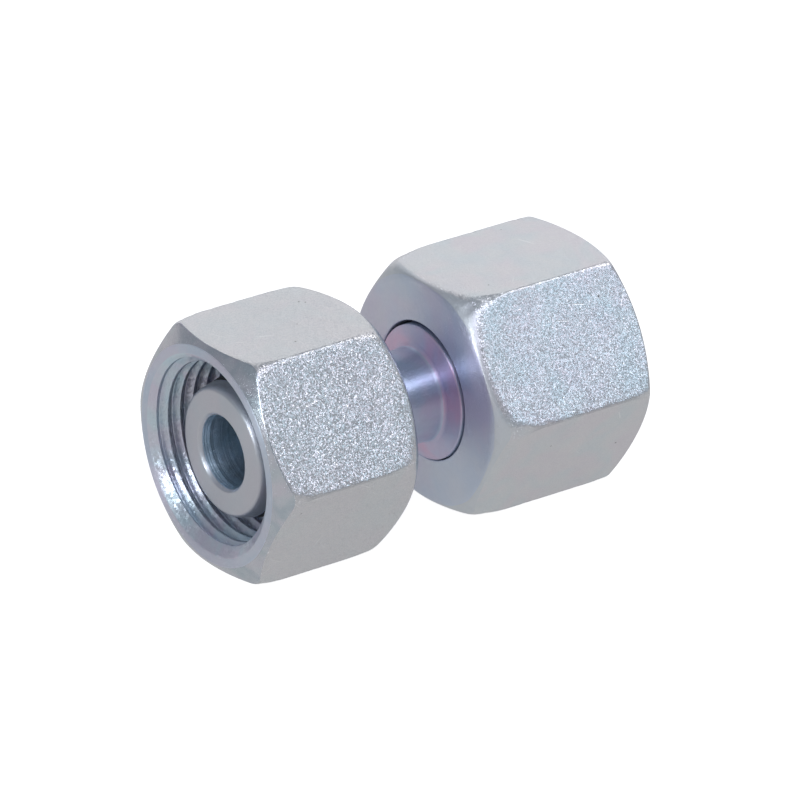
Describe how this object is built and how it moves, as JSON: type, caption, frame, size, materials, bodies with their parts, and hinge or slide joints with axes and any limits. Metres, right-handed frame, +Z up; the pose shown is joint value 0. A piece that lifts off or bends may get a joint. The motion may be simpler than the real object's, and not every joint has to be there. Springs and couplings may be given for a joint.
{
  "type": "straight swivel tube coupling",
  "caption": "Straight tube coupling: a bored, turned steel body with a cone nose and O-ring at each end, joined by a narrow neck, and a free-turning hexagon union nut round each nose.",
  "frame": {"origin": "middle of the body's length, on the axis of its bore", "axes": "+X along the bore towards the far nut's mouth, +Z up, the near nut's mouth faces -X, a flat of each nut down"},
  "size_m": [0.0456, 0.0278, 0.024],
  "materials": {
    "turned_plated_steel": "fine-turned, zinc plated, faint violet and blue passivation",
    "plated_nut_steel": "zinc plated, grainy on the flats, turned on the end faces",
    "black_rubber": "smooth moulded",
    "spring_wire": "drawn wire"
  },
  "bodies": {
    "core": {"body": "turned_plated_steel", "near_o_ring": "black_rubber", "far_o_ring": "black_rubber", "near_retaining_wire": "spring_wire", "far_retaining_wire": "spring_wire"},
    "near_swivel": {"near_nut": "plated_nut_steel"},
    "far_swivel": {"far_nut": "plated_nut_steel"}
  },
  "joints": [
    {"name": "near_nut_turn", "type": "hinge", "parent": "core", "child": "near_swivel", "pos_m": [-0.0142, 0, 0.00013], "axis": [-1, 0, 0], "continuous": true},
    {"name": "far_nut_turn", "type": "hinge", "parent": "core", "child": "far_swivel", "pos_m": [0.01305, 0, 0.00013], "axis": [1, 0, 0], "continuous": true}
  ]
}
